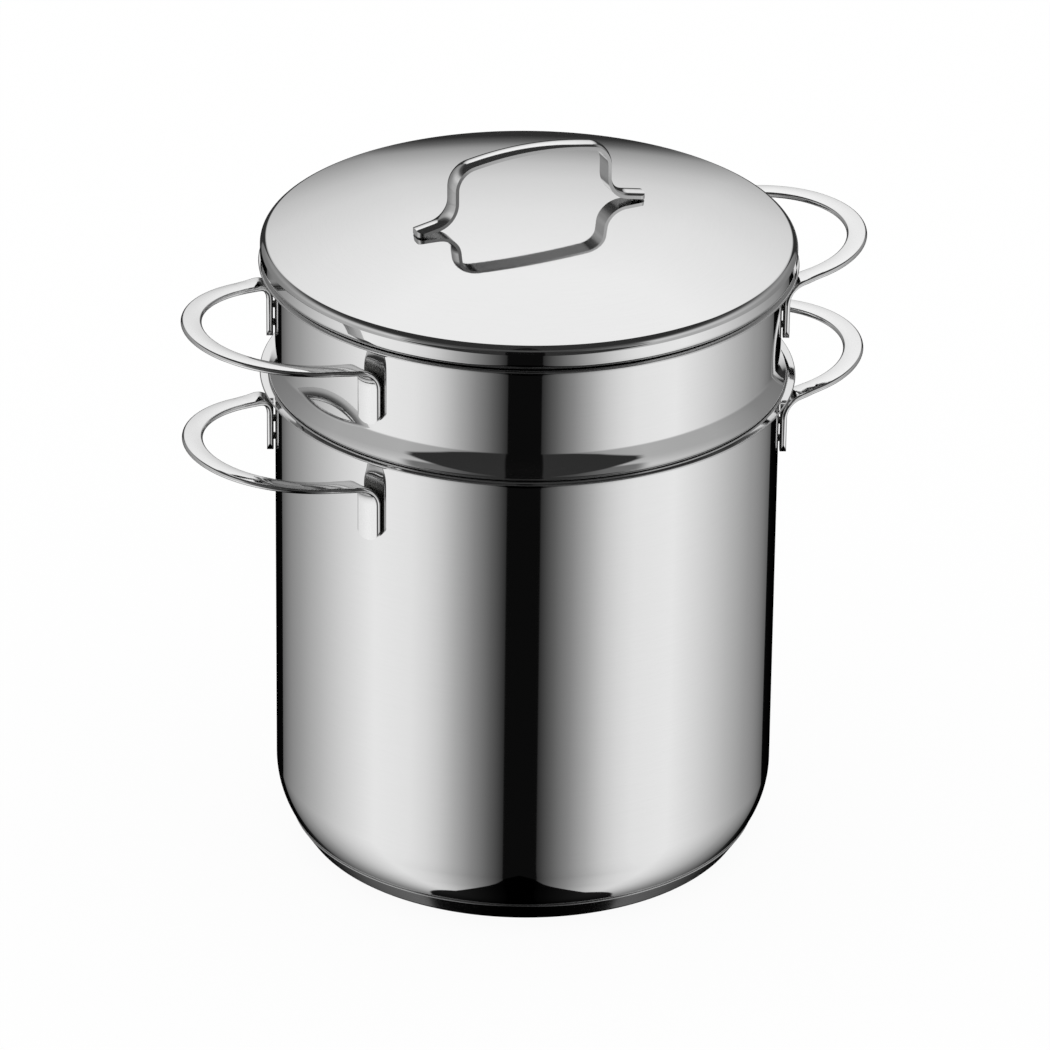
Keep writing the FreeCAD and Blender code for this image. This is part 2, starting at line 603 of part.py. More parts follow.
def loop_strap(height):
    """The loop on +X: most of half a ring in a rising plane, then at each end a short run that twists
    and widens as it bends down to face the wall."""
    turn = size("leg_turn")
    bend = size("leg_bend")
    radius = size("loop_radius")
    rise = size("loop_rise")
    width = size("strap_width")
    leg = turned(turn) * (size("pot_radius") + size("leg_gap") + size("strap_thickness") / 2
                          + size("strap_crown"))
    # The loop's plane crosses the axis at the pivot; a leg's middle line meets it in a corner.
    out = Vector(cosine(rise), 0, sine(rise))
    level = Vector(0, 1, 0)
    normal = out.cross(level)
    pivot = Vector(0, 0, height - leg.x * math.tan(math.radians(rise)))
    centre_reach = size("handle_reach") / cosine(rise) - width / 2 - radius
    centre = pivot + out * centre_reach
    corner_reach = leg.x / cosine(rise) - centre_reach
    corner_distance = math.hypot(corner_reach, leg.y)
    end_turn = math.degrees(math.atan2(leg.y, corner_reach) - math.acos(radius / corner_distance))
    dip = math.degrees(math.asin(sine(end_turn) * sine(rise)))
    corner_cut = bend * math.tan(math.radians(90 - dip) / 2)
    run = math.sqrt(corner_distance ** 2 - radius ** 2) - corner_cut
    path_length = run + bend * math.radians(90 - dip)

    def ring_side(degrees):
        return out * cosine(degrees) + level * sine(degrees)

    first_side = ring_side(-end_turn)
    first = Part.Face(strap_section(centre + first_side * radius, first_side, normal, width))
    pieces = [first.revolve(centre, normal, 2 * end_turn)]
    for side in (1, -1):
        loop_side = ring_side(side * end_turn)
        leg_side = turned(side * (turn + 90))
        ahead = level * (side * cosine(end_turn)) - out * sine(end_turn)
        flat_ahead = Vector(ahead.x, ahead.y, 0).normalize()
        loop_end = centre + loop_side * radius
        sections = []
        for station in range(SWEEP_STATIONS):
            share = station / (SWEEP_STATIONS - 1)
            travel = path_length * share
            angle = dip + math.degrees(max(0, travel - run) / bend)
            middle = (loop_end + ahead * min(travel, run) + flat_ahead * (bend * (sine(angle) - sine(dip)))
                      - UP * (bend * (cosine(dip) - cosine(angle))))
            tangent = flat_ahead * cosine(angle) - UP * sine(angle)
            progress = (1 - cosine(180 * share)) / 2
            across = loop_side * (1 - progress) + leg_side * progress
            across = (across - tangent * across.dot(tangent)).normalize()
            outward = across.cross(tangent) * side
            station_width = width + (size("leg_width") - width) * progress
            sections.append(strap_section(middle, across, outward, station_width))
        pieces.append(Part.makeLoft(sections, True, False))
        straight = size("leg_length") - corner_cut
        leg_top = Vector(leg.x, side * leg.y, height - corner_cut)
        blank = Part.Face(sections[-1]).extrude(UP * -straight)
        pieces.append(blank.common(leg_outline(leg_top, leg_side, turned(side * turn), straight)))
    return pieces[0].multiFuse(pieces[1:]).removeSplitter()


def loop_handle(name, height, side_turn):
    """One side handle: its strap, two weld nubs on each leg, cut to the curve of the wall they sit on."""
    wall_radius = size("pot_radius")
    strap = doc.addObject("Part::Feature", name + "_strap")
    strap.Shape = loop_strap(height)
    pieces = [strap]
    for leg_side in (1, -1):
        outward = turned(leg_side * size("leg_turn"))
        for nub_alias in ("lower_nub", "upper_nub"):
            nub = doc.addObject("Part::Cylinder", f"{name}_{nub_alias}")
            nub.setExpression("Radius", "sizes.nub_radius")
            nub.setExpression("Height", "2 * sizes.leg_gap + sizes.nub_sink")
            start = outward * (wall_radius - size("leg_gap"))
            rise = UP * (height - size("leg_length") + size(nub_alias))
            nub.Placement = Placement(start + rise, Rotation(UP, outward))
            pieces.append(nub)
    welded = doc.addObject("Part::MultiFuse", name + "_welded")
    welded.Shapes = pieces
    wall = doc.addObject("Part::Cylinder", name + "_wall")
    wall.setExpression("Radius", "sizes.pot_radius")
    wall.setExpression("Height", "sizes.pot_height + sizes.collar_rise")
    handle = doc.addObject("Part::Cut", name + "_cut")
    handle.Base = welded
    handle.Tool = wall
    handle.Placement = Placement(Vector(0, 0, 0), Rotation(UP, side_turn))
    set_piece(handle, name)


def check_and_write():
    """Writes each piece, once every object of the document has computed and every piece is one sound solid."""
    doc.recompute()
    for each in doc.Objects:
        if "Invalid" in each.State or "Error" in each.State:
            raise RuntimeError(f"{each.Name} did not compute: {each.State}")
    for piece in PIECES:
        if piece.Shape.isNull() or not piece.Shape.isValid() or len(piece.Shape.Solids) != 1:
            raise RuntimeError(f"{piece.Label} is not one valid solid")
    os.makedirs("parts", exist_ok=True)
    for piece in PIECES:
        piece.Shape.exportStep(f"parts/{piece.Label}.step")
        print(f"{piece.Label}: {piece.Shape.Volume:.0f} mm3, {len(piece.Shape.Faces)} faces")


pot_shell()
base_core(base_cap())
insert_shell()
lid_shell()
lid_handle()
for side_name, side_turn in (("right", 0), ("left", 180)):
    loop_handle(f"pot_handle_{side_name}", size("pot_height") - size("pot_handle_drop"), side_turn)
    loop_handle(f"insert_handle_{side_name}", collar_top - size("insert_handle_drop"), side_turn)
check_and_write()
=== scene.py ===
import math

import bmesh
import bpy
from mathutils import Matrix, Vector
from mathutils.kdtree import KDTree


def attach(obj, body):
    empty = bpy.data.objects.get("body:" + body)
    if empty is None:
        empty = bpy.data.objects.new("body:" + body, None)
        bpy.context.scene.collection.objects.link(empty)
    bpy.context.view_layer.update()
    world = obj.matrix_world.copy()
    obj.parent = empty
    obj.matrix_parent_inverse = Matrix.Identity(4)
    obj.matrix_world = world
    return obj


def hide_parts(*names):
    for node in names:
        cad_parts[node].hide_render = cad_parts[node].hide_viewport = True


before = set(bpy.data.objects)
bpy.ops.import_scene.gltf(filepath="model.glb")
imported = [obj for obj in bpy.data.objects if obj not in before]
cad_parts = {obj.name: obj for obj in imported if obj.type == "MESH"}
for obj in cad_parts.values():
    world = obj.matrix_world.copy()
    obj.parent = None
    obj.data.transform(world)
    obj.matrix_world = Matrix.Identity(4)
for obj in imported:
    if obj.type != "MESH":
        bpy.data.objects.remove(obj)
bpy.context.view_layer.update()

MM = 0.001

# The photograph's camera, in the part's own frame.
VIEW_AZIMUTH = -27.2
VIEW_ELEVATION = 26.33
VIEW_ROLL = 0.689
LENS_MM = 254.0
SENSOR_MM = 36.0
CLIP_END = 20
CAMERA_PLACE = Vector((-1103.25, -2146.15, 1313.4)) * MM

# The sheet pieces, in millimetres, as in the part's source.
GAUGE = 0.8
FLARE = 3.5
CLEARANCE = 0.1
POT_RADIUS = 90.8
POT_HEIGHT = 182.2
POT_LIP = 96.3
POT_CORNER = 33.5
BASE_BEND = 7.0
SEAM_HEIGHT = 8.66
BASE_HEIGHT = 5.54
CAP_GAUGE = 0.5
CAP_EDGE = 4.57
COLLAR_TOP = POT_HEIGHT + 43.4
COLLAR_LIP = POT_LIP + 0.3
BEAD_HOLLOW = 20.0
BEAD_NOSE = 1.3
BEAD_REACH = POT_RADIUS + 2.1
BEAD_RETURN = 1.5
BASKET_RADIUS = POT_RADIUS - GAUGE - 1.7
BASKET_FLOOR = 34.0
BASKET_CORNER = 12.0
HOLE_RADIUS = 3.5
HOLE_DEPTH = 6.0
WALL_HOLE_RISE = 24.0
WALL_HOLE_PITCH = 16.0
WALL_HOLES = 12
WALL_RINGS = 3
FLOOR_HOLE_PITCH = 22.0
FLOOR_HOLES = (6, 12, 18)
LID_RADIUS = COLLAR_LIP - 0.6
DOME_RADIUS = 480.0
LID_BEND = 3.0
SKIRT = 3.1
NECK_RADIUS = POT_RADIUS - GAUGE - 0.9
NECK_BEND = 1.5
NECK_DEPTH = 5.6
LEG_GAP = 0.6

# How finely the sheet pieces are drawn: facets round, millimetres off the arcs, and degrees a step.
SEGMENTS = 384
CHORD_ERROR = 0.01
LEAST_STEP = 0.5
MOST_STEP = 8.0
END_STEPS = 8
HOLE_SEGMENTS = 24
# How close a face's own normal is to the outline's, as a cosine, where it takes the outline's.
ALIKE = 0.9
# Within how many millimetres a point is on the axis, or two points are one.
ON_AXIS = 1e-4
SAME_PLACE = 1e-4

# Polished steel: how its marks and its clouds share the roughness, and the limits of their noise.
MARK_SHARE = 0.6
MARK_DETAIL = 3.0
CLOUDS_PER_METRE = 28.0
NOISE_LIMITS = (0.3, 0.7)

# The matt metal round a weld nub, its grey also painted shade in the gap where the legs meet the pot and the
# handle's feet meet the dome, and in millimetres where it lies: from a leg's back, and from the dome.
WELD_AND_GAP_SHADE_GREY = 0.2
WELD_AND_GAP_SHADE_WARMTH = 0.05
WELD_ROUGHNESS = 0.4
LEG_DULL_AND_SHADE = (-0.25, 0.1)
FOOT_DULL_AND_SHADE = (0.3, 0.7)

# The back of a loop's legs, facing the pot wall, is matt and darkened too, as painted shade: what faces
# inwards, as a cosine, and how many millimetres out.
BACK_FACING = (-0.8, -0.3)
BACK_REACH = 6.0

# The less polished underside of the lid's handle, its grey painted shade under the handle: what faces down,
# as a cosine, and its grey.
UNDER_FACING = (-0.7, -0.4)
UNDERSIDE_SHADE_GREY = 0.22
UNDER_ROUGHNESS = 0.15

# The studio goes by three numbers. side is 0 in the plane through the camera and the axis, and 1 square
# to it. away is 0 on the camera's side and 1 behind the object. height is 0 straight down and 1 straight up.

# How far its dark middle lies from the camera, in degrees.
STUDIO_TURN = 1.0
# Edges by elevation, in degrees: of the dark disc below, of the low lights behind the object, of the low
# lights elsewhere, where they pass into the high ones, and of the light behind, under the ceiling.
DISC_EDGE = -70.5
LOW_BEHIND_EDGE = (-56, -31)
LIGHTS_MEET = (-24.5, -20.5)
CEILING_EDGE = (47.5, 49.2)
# Edges by away: of the dark middle, of the faint light over the cloth, of the side lights, and of the light
# behind, whose lower edge rises from BEHIND_MIDDLE to its sides.
MIDDLE_EDGE = (0.042, 0.048)
FAINT_LIGHT_END = (0.7, 0.82)
SIDE_LIGHTS_END = (0.832, 0.838)
BEHIND_START = (0.82, 0.86)
BEHIND_MIDDLE = 0.967
BEHIND_RISE = 0.95
# How softly the cloth and the flare of the dark middle end.
CLOTH_BLUR = (-0.01, 0.025)
FLARE_BLUR = (-0.012, -0.001)
# The greys of the dark cloth and of its middle, and how much is left of a light that is shut off or dimmed.
CLOTH_GREY = 0.032
MIDDLE_GREY = 0.004
SHUT_LIGHT = 0.02
DIMMED_LIGHT = 0.3

# The floor, in metres, and how much of its own white the camera sees, over its shading.
FLOOR_SIZE = 6
FLOOR_GREY = 0.98
FLOOR_WHITE = 0.93


def sine(degrees):
    return math.sin(math.radians(degrees))


def cosine(degrees):
    return math.cos(math.radians(degrees))


def make_camera():
    """The photograph's viewing angle: a long lens from above the front left, with a slight roll."""
    across, rise = (cosine(VIEW_AZIMUTH), sine(VIEW_AZIMUTH)), VIEW_ELEVATION
    right = Vector((*across, 0))
    ahead = Vector((-across[1] * cosine(rise), across[0] * cosine(rise), -sine(rise)))
    up = right.cross(ahead)
    rolled_right = right * cosine(VIEW_ROLL) + up * sine(VIEW_ROLL)
    rolled_up = up * cosine(VIEW_ROLL) - right * sine(VIEW_ROLL)
    turn = Matrix((rolled_right, rolled_up, -ahead)).transposed()
    data = bpy.data.cameras.new("camera")
    data.lens = LENS_MM
    data.sensor_width = SENSOR_MM
    data.sensor_fit = "HORIZONTAL"
    data.clip_end = CLIP_END
    camera = bpy.data.objects.new("camera", data)
    camera.matrix_world = Matrix.Translation(CAMERA_PLACE) @ turn.to_4x4()
    bpy.context.scene.collection.objects.link(camera)
    bpy.context.scene.camera = camera


class Section:
    """The outer face of a sheet: tangent lines and arcs in the plane of radius and height."""

    def __init__(self, radius, height, outside_left=False):
        self.heading = 0
        self.hand = -1 if outside_left else 1
        self.spots = []
        self.add(Vector((radius, height)))

    def add(self, point):
        """A point and the face's outward normal."""
        self.spots.append((point, Vector((sine(self.heading), -cosine(self.heading))) * self.hand))

    def line(self, length):
        self.add(self.spots[-1][0] + Vector((cosine(self.heading), sine(self.heading))) * length)

    def line_to(self, radius=None, height=None):
        """A straight stretch to a radius or a height."""
        start = self.spots[-1][0]
        if radius is None:
            self.line((height - start.y) / sine(self.heading))
        else:
            self.line((radius - start.x) / cosine(self.heading))

    def arc(self, radius, turn):
        """A bend; a positive turn, in degrees, goes left."""
        side = math.copysign(90, turn)
        inward = Vector((cosine(self.heading + side), sine(self.heading + side)))
        centre = self.spots[-1][0] + inward * radius
        step = 2 * math.degrees(math.acos(1 - CHORD_ERROR / radius))
        count = math.ceil(abs(turn) / min(MOST_STEP, max(LEAST_STEP, step)))
        first = self.heading
        for number in range(1, count + 1):
            self.heading = first + turn * number / count
            out = Vector((cosine(self.heading - side), sine(self.heading - side)))
            self.add(centre + out * radius)

    def sheet(self, gauge):
        """The sheet's outline: the outer face, a rounded end and the inner face back to the axis."""
        spots = list(self.spots)
        end, normal = spots[-1]
        ahead = Vector((cosine(self.heading), sine(self.heading)))
        middle = end - normal * gauge / 2
        for number in range(1, END_STEPS):
            turn = 180 * number / END_STEPS
            out = normal * cosine(turn) + ahead * sine(turn)
            spots.append((middle + out * gauge / 2, out))
        spots.extend((point - normal * gauge, -normal) for point, normal in reversed(self.spots))
        return spots if self.hand == 1 else spots[::-1]


def spin(name, spots, nodes, cutter=None):
    """Spins an outline about Z into one mesh, with the outline's own normals, in place of a CAD node."""
    mesh = bpy.data.meshes.new(name)
    build = bmesh.new()
    rings = []
    for point, normal in spots:
        if point.x < ON_AXIS:
            rings.append([build.verts.new((0, 0, point.y * MM))])
            continue
        ring = []
        for number in range(SEGMENTS):
            turn = math.tau * number / SEGMENTS
            place = point.x * MM * math.cos(turn), point.x * MM * math.sin(turn), point.y * MM
            ring.append(build.verts.new(place))
        rings.append(ring)
    for low, high in zip(rings, rings[1:]):
        for number in range(SEGMENTS):
            following = (number + 1) % SEGMENTS
            if len(low) == 1 and len(high) == 1:
                break
            if len(low) == 1:
                build.faces.new((low[0], high[following], high[number]))
            elif len(high) == 1:
                build.faces.new((low[number], low[following], high[0]))
            else:
                build.faces.new((low[number], low[following], high[following], high[number]))
    build.to_mesh(mesh)
    build.free()
    piece = bpy.data.objects.new(name, mesh)
    bpy.context.scene.collection.objects.link(piece)
    if cutter:
        cut_with(piece, cutter)
    set_normals(piece.data, spots)
    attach(piece, "root")
    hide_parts(*nodes)
    return piece


def cut_with(piece, cutter):
    """Takes the cutter's bodies out of a piece, for good."""
    change = piece.modifiers.new("holes", "BOOLEAN")
    change.operation = "DIFFERENCE"
    change.solver = "EXACT"
    change.object = cutter
    depsgraph = bpy.context.evaluated_depsgraph_get()
    cut = bpy.data.meshes.new_from_object(piece.evaluated_get(depsgraph))
    piece.modifiers.clear()
    piece.data = cut
    bpy.data.objects.remove(cutter)


def set_normals(mesh, spots):
    """Gives each corner the outline's normal, so that the sheet mirrors as a true surface of revolution."""
    tree = KDTree(len(spots))
    for number, (point, normal) in enumerate(spots):
        tree.insert((point.x, point.y, 0), number)
    tree.balance()
    radii = [math.hypot(vertex.co.x, vertex.co.y) for vertex in mesh.vertices]
    nearest = [tree.find_n((radius / MM, vertex.co.z / MM, 0), 2)
               for vertex, radius in zip(mesh.vertices, radii)]
    normals = []
    for face in mesh.polygons:
        flat = face.normal.copy()
        for corner in face.vertices:
            place = mesh.vertices[corner].co
            radius = radii[corner]
            across = place.xy / radius if radius > ON_AXIS * MM else Vector((0, 0))
            best = flat
            agreement = ALIKE
            for _, number, distance in nearest[corner]:
                if distance > CHORD_ERROR and distance > nearest[corner][0][2] + SAME_PLACE:
                    continue
                slope = spots[number][1]
                normal = Vector((across.x * slope.x, across.y * slope.x, slope.y))
                if normal.dot(flat) > agreement:
                    best = normal
                    agreement = normal.dot(flat)
            normals.append(best)
    mesh.shade_smooth()
    mesh.normals_split_custom_set(normals)


def pot_section():
    seam_turn = math.degrees(math.asin((BASE_HEIGHT - SEAM_HEIGHT + BASE_BEND) / BASE_BEND))
    seam_radius = POT_RADIUS - POT_CORNER * (1 - cosine(seam_turn))
    section = Section(0, BASE_HEIGHT)
    section.line(seam_radius - BASE_BEND * cosine(seam_turn))
    section.arc(BASE_BEND, 90 - seam_turn)
    section.arc(POT_CORNER, seam_turn)
    section.line_to(height=POT_HEIGHT - GAUGE - FLARE)
    section.arc(FLARE, -90)
    section.line_to(radius=POT_LIP - GAUGE / 2)
    return section, seam_turn, seam_radius


def cap_section(seam_turn, seam_radius):
    slope = 90 - seam_turn
    edge_radius = seam_radius + CAP_GAUGE * cosine(seam_turn)
    edge_height = SEAM_HEIGHT - CAP_GAUGE * sine(seam_turn)
    side_length = (edge_height - CAP_EDGE * (1 - cosine(slope))) / sine(slope)
    section = Section(0, 0)
    section.line(edge_radius - side_length * cosine(slope) - CAP_EDGE * sine(slope))
    section.arc(CAP_EDGE, slope)
    section.line(side_length - CAP_GAUGE / 2)
    return section


def insert_section():
    """Up the basket, out over the rolled bead and its hollow, and up the collar to the lip."""
    flare_centre = Vector((POT_RADIUS + FLARE, POT_HEIGHT - GAUGE - FLARE))
    seat_distance = FLARE + GAUGE + CLEARANCE + BEAD_NOSE
    nose = Vector((BEAD_REACH - BEAD_NOSE, 0))
    nose.y = flare_centre.y + math.sqrt(seat_distance ** 2 - (flare_centre.x - nose.x) ** 2)
    slope = math.degrees(math.acos((nose.y - flare_centre.y) / seat_distance))
    hollow_turn = math.degrees(math.acos((POT_RADIUS + BEAD_HOLLOW - nose.x) / (BEAD_HOLLOW + BEAD_NOSE)))
    away = Vector((sine(slope), -cosine(slope)))
    touch = nose + away * BEAD_NOSE
    back_radius = BASKET_RADIUS + BEAD_RETURN
    back_height = touch.y + ((back_radius - touch.x) * away.x - BEAD_RETURN) / -away.y
    section = Section(0, BASKET_FLOOR)
    section.line(BASKET_RADIUS - BASKET_CORNER)
    section.arc(BASKET_CORNER, 90)
    section.line_to(height=back_height)
    section.arc(BEAD_RETURN, slope - 90)
    section.line_to(radius=touch.x)
    section.arc(BEAD_NOSE, 90 + hollow_turn - slope)
    section.arc(BEAD_HOLLOW, -hollow_turn)
    section.line_to(height=COLLAR_TOP - GAUGE - FLARE)
    section.arc(FLARE, -90)
    section.line_to(radius=COLLAR_LIP - GAUGE / 2)
    return section


def lid_section():
    """From the top of the dome out, over the skirt and in to the neck; with the dome's middle."""
    shoulder_radius = LID_RADIUS - LID_BEND
    dome_turn = math.degrees(math.asin(shoulder_radius / (DOME_RADIUS - LID_BEND)))
    seat_reach = FLARE + GAUGE + CLEARANCE + LID_BEND
    lip_bend = Vector((POT_RADIUS + FLARE, COLLAR_TOP - GAUGE - FLARE))
    seat = lip_bend.y - LID_BEND + math.sqrt(seat_reach ** 2 - max(0, lip_bend.x - shoulder_radius) ** 2)
    dome_centre = seat + LID_BEND + SKIRT - (DOME_RADIUS - LID_BEND) * cosine(dome_turn)
    section = Section(0, dome_centre + DOME_RADIUS, outside_left=True)
    section.arc(DOME_RADIUS, -dome_turn)
    section.arc(LID_BEND, dome_turn - 90)
    section.line(SKIRT)
    section.arc(LID_BEND, -90)
    section.line_to(radius=NECK_RADIUS + NECK_BEND)
    section.arc(NECK_BEND, 90)
    section.line_to(height=COLLAR_TOP - NECK_DEPTH + GAUGE / 2)
    return section, dome_centre


def drill(turn, radius, height, along):
    """Where a round cutter stands, in metres."""
    spot = Vector((radius * cosine(turn), radius * sine(turn), height)) * MM
    return Matrix.Translation(spot) @ along.to_track_quat("Z", "Y").to_matrix().to_4x4()


def hole_cutter():
    """Staggered rings of holes in the basket's wall, and rings round the middle of its floor."""
    places = []
    for ring in range(WALL_RINGS):
        height = BASKET_FLOOR + WALL_HOLE_RISE + ring * WALL_HOLE_PITCH
        for number in range(WALL_HOLES):
            turn = 360 * (number + ring % 2 / 2) / WALL_HOLES
            places.append(drill(turn, BASKET_RADIUS, height, Vector((cosine(turn), sine(turn), 0))))
    places.append(drill(0, 0, BASKET_FLOOR, Vector((0, 0, 1))))
    for ring, count in enumerate(FLOOR_HOLES, start=1):
        for number in range(count):
            turn = 360 * number / count
            places.append(drill(turn, ring * FLOOR_HOLE_PITCH, BASKET_FLOOR, Vector((0, 0, 1))))
    build = bmesh.new()
    for place in places:
        bmesh.ops.create_cone(build, cap_ends=True, segments=HOLE_SEGMENTS, radius1=HOLE_RADIUS * MM,
                              radius2=HOLE_RADIUS * MM, depth=HOLE_DEPTH * MM, matrix=place)
    mesh = bpy.data.meshes.new("hole_cutter")
    build.to_mesh(mesh)
    build.free()
    cutter = bpy.data.objects.new("hole_cutter", mesh)
    bpy.context.scene.collection.objects.link(cutter)
    return cutter


class Graph:
    """Adds linked nodes to a material or a world."""

    def __init__(self, tree):
        self.tree = tree
        tree.nodes.clear()

    def node(self, kind, settings=None, **inputs):
        """A node with its settings, its sockets' values and the sockets that feed it."""
        node = self.tree.nodes.new("ShaderNode" + kind)
        for name, value in (settings or {}).items():
            setattr(node, name, value)
        for name, value in inputs.items():
            self.feed(node.inputs[name.replace("_", " ")], value)
        return node

    def feed(self, socket, value):
        if isinstance(value, bpy.types.NodeSocket):
            self.tree.links.new(value, socket)
        else:
            socket.default_value = value

    def math(self, operation, *values):
        node = self.node("Math", {"operation": operation})
        for socket, value in zip(node.inputs, values):
            self.feed(socket, value)
        return node.outputs[0]

    def times(self, product, *factors):
        for factor in factors:
            product = self.math("MULTIPLY", product, factor)
        return product

    def most(self, greatest, *others):
        for other in others:
            greatest = self.math("MAXIMUM", greatest, other)
        return greatest

    def vector(self, operation, *values, output=0):
        node = self.node("VectorMath", {"operation": operation})
        for socket, value in zip(node.inputs, values):
            self.feed(socket, value)
        return node.outputs[output]

    def scaled(self, value, factor):
        node = self.node("VectorMath", {"operation": "SCALE"}, Scale=factor)
        self.feed(node.inputs[0], value)
        return node.outputs[0]

    def ramp(self, source, *stops):
        """A grey ramp through (place, grey) stops."""
        node = self.node("ValToRGB", Fac=source)
        elements = node.color_ramp.elements
        elements.remove(elements[-1])
        elements[0].position = stops[0][0]
        elements[0].color = (stops[0][1],) * 3 + (1,)
        for place, level in stops[1:]:
            elements.new(place).color = (level,) * 3 + (1,)
        return node.outputs["Color"]

    def span(self, value, low, high, first=0.0, last=1.0):
        """A value's place between two limits, smoothed, as a number from first to last."""
        return self.node("MapRange", {"interpolation_type": "SMOOTHSTEP"}, Value=value, From_Min=low,
                         From_Max=high, To_Min=first, To_Max=last).outputs[0]

    def rise_ramp(self, height, *stops):
        """A grey ramp through (elevation, grey) stops."""
        return self.ramp(height, *((height_place(elevation), level) for elevation, level in stops))

    def rise_span(self, height, low, high, first=0.0, last=1.0):
        """A span between two elevations."""
        return self.span(height, height_place(low), height_place(high), first, last)

    def noise(self, place, scale, detail=2.0):
        return self.node("TexNoise", Vector=place, Scale=scale, Detail=detail).outputs["Fac"]


def height_place(elevation):
    """Where an elevation in degrees lies from straight down, 0, to straight up, 1."""
    return elevation / 180 + 0.5


def grey(level, warmth=0.0):
    return (level, level, level * (1 - warmth), 1)


def mixed_color(graph, factor, first, second):
    """Two colours mixed. A Mix node's colours are its inputs 6 and 7 and its output 2."""
    node = graph.tree.nodes.new("ShaderNodeMix")
    node.data_type = "RGBA"
    graph.feed(node.inputs[0], factor)
    graph.feed(node.inputs[6], first)
    graph.feed(node.inputs[7], second)
    return node.outputs[2]


def place_of(graph):
    """A point's place in metres, its distance from the axis, and its bearing as a unit vector."""
    place = graph.node("TexCoord").outputs["Object"]
    flat = graph.vector("MULTIPLY", place, (1, 1, 0))
    return place, graph.vector("LENGTH", flat, output=1), graph.vector("NORMALIZE", flat)


def turned_marks(graph, place, reach, bearing, length, pitch):
    """Noise drawn out round the axis, as a polishing wheel or a lathe leaves it."""
    height = graph.node("SeparateXYZ", Vector=place).outputs[2]
    rise = graph.times(graph.math("ADD", height, reach), 1 / (pitch * MM))
    raised = graph.node("CombineXYZ", Z=rise).outputs[0]
    round_axis = graph.scaled(bearing, POT_RADIUS / length)
    return graph.noise(graph.vector("ADD", round_axis, raised), 1.0, MARK_DETAIL)


def steel(name, color, roughness, marks, bump, gap=None, underside=None, anisotropy=0.0):
    """Stainless steel, or aluminium. marks is (length, pitch) of turned marks in millimetres, or the size of
    an even grain. roughness and color are each a pair, between which they vary. gap is the play behind a
    welded piece, where the metal is left matt and its colour darkened as painted shade in the gap: (centre,
    from, to) from a ball's middle, or (None, from, to) from the axis. underside is the grey of a less
    polished underside, darkened as painted shade under the handle. bump is in millimetres too."""
    material = bpy.data.materials.new(name)
    material.use_nodes = True
    graph = Graph(material.node_tree)
    place, reach, bearing = place_of(graph)
    if isinstance(marks, tuple):
        grain = turned_marks(graph, place, reach, bearing, *marks)
    else:
        grain = graph.noise(place, 1 / (marks * MM), MARK_DETAIL)
    cloud = graph.noise(place, CLOUDS_PER_METRE)
    uneven = graph.math("ADD", graph.times(grain, MARK_SHARE), graph.times(cloud, 1 - MARK_SHARE))
    rough = graph.span(uneven, *NOISE_LIMITS, *roughness)
    tone = mixed_color(graph, graph.span(grain, *NOISE_LIMITS), grey(color[0]), grey(color[1]))
    if gap:
        centre, near, far = gap
        if centre is not None:
            reach = graph.vector("DISTANCE", place, Vector((0, 0, centre)) * MM, output=1)
        # Matt weld metal, with painted shade darkening the gap where a leg meets the pot and a foot meets
        # the dome.
        dull_and_shaded = graph.span(reach, near * MM, far * MM, 1.0, 0.0)
        if centre is None:
            normal = graph.node("NewGeometry").outputs["Normal"]
            facing = graph.vector("DOT_PRODUCT", normal, bearing, output=1)
            inward = graph.times(graph.span(facing, *BACK_FACING, 1.0, 0.0),
                                 graph.span(reach, far * MM, (far + BACK_REACH) * MM, 1.0, 0.0))
            dull_and_shaded = graph.most(dull_and_shaded, inward)
        rough = graph.math("ADD", rough, graph.times(dull_and_shaded, WELD_ROUGHNESS))
        tone = mixed_color(graph, dull_and_shaded, tone, grey(WELD_AND_GAP_SHADE_GREY, WELD_AND_GAP_SHADE_WARMTH))
    # Painted shade: the underside is darkened in colour, as well as made rougher.
    if underside:
        normal = graph.node("NewGeometry").outputs["Normal"]
        facing = graph.node("SeparateXYZ", Vector=normal).outputs[2]
        under = graph.span(facing, *UNDER_FACING, 1.0, 0.0)
        rough = graph.math("ADD", rough, graph.times(under, UNDER_ROUGHNESS))
        tone = mixed_color(graph, under, tone, grey(underside))
    relief = graph.node("Bump", Height=grain, Distance=bump * MM)
    shader = graph.node("BsdfPrincipled", Base_Color=tone, Roughness=rough, Metallic=1.0,
                        Normal=relief.outputs[0])
    if anisotropy:
        shader.inputs["Anisotropic"].default_value = anisotropy
        around = graph.node("Tangent", {"direction_type": "RADIAL", "axis": "Z"})
        graph.feed(shader.inputs["Tangent"], around.outputs[0])
    out = graph.node("OutputMaterial", Surface=shader.outputs[0])
    out.is_active_output = True
    return material


def make_floor():
    """A white floor, which the camera sees a little whiter than it is lit."""
    bpy.ops.mesh.primitive_plane_add(size=FLOOR_SIZE)
    floor = bpy.context.object
    floor.name = "floor"
    material = bpy.data.materials.new("floor_white")
    material.use_nodes = True
    graph = Graph(material.node_tree)
    paper = graph.node("BsdfPrincipled", Base_Color=grey(FLOOR_GREY), Roughness=1.0, Specular_IOR_Level=0.0)
    white = graph.node("Emission", Color=grey(1.0), Strength=1.0)
    seen = graph.node("LightPath").outputs["Is Camera Ray"]
    mix = graph.node("MixShader", Fac=graph.times(seen, FLOOR_WHITE))
    graph.feed(mix.inputs[1], paper.outputs[0])
    graph.feed(mix.inputs[2], white.outputs[0])
    graph.node("OutputMaterial", Surface=mix.outputs[0])
    floor.data.materials.append(material)
    floor.visible_glossy = False


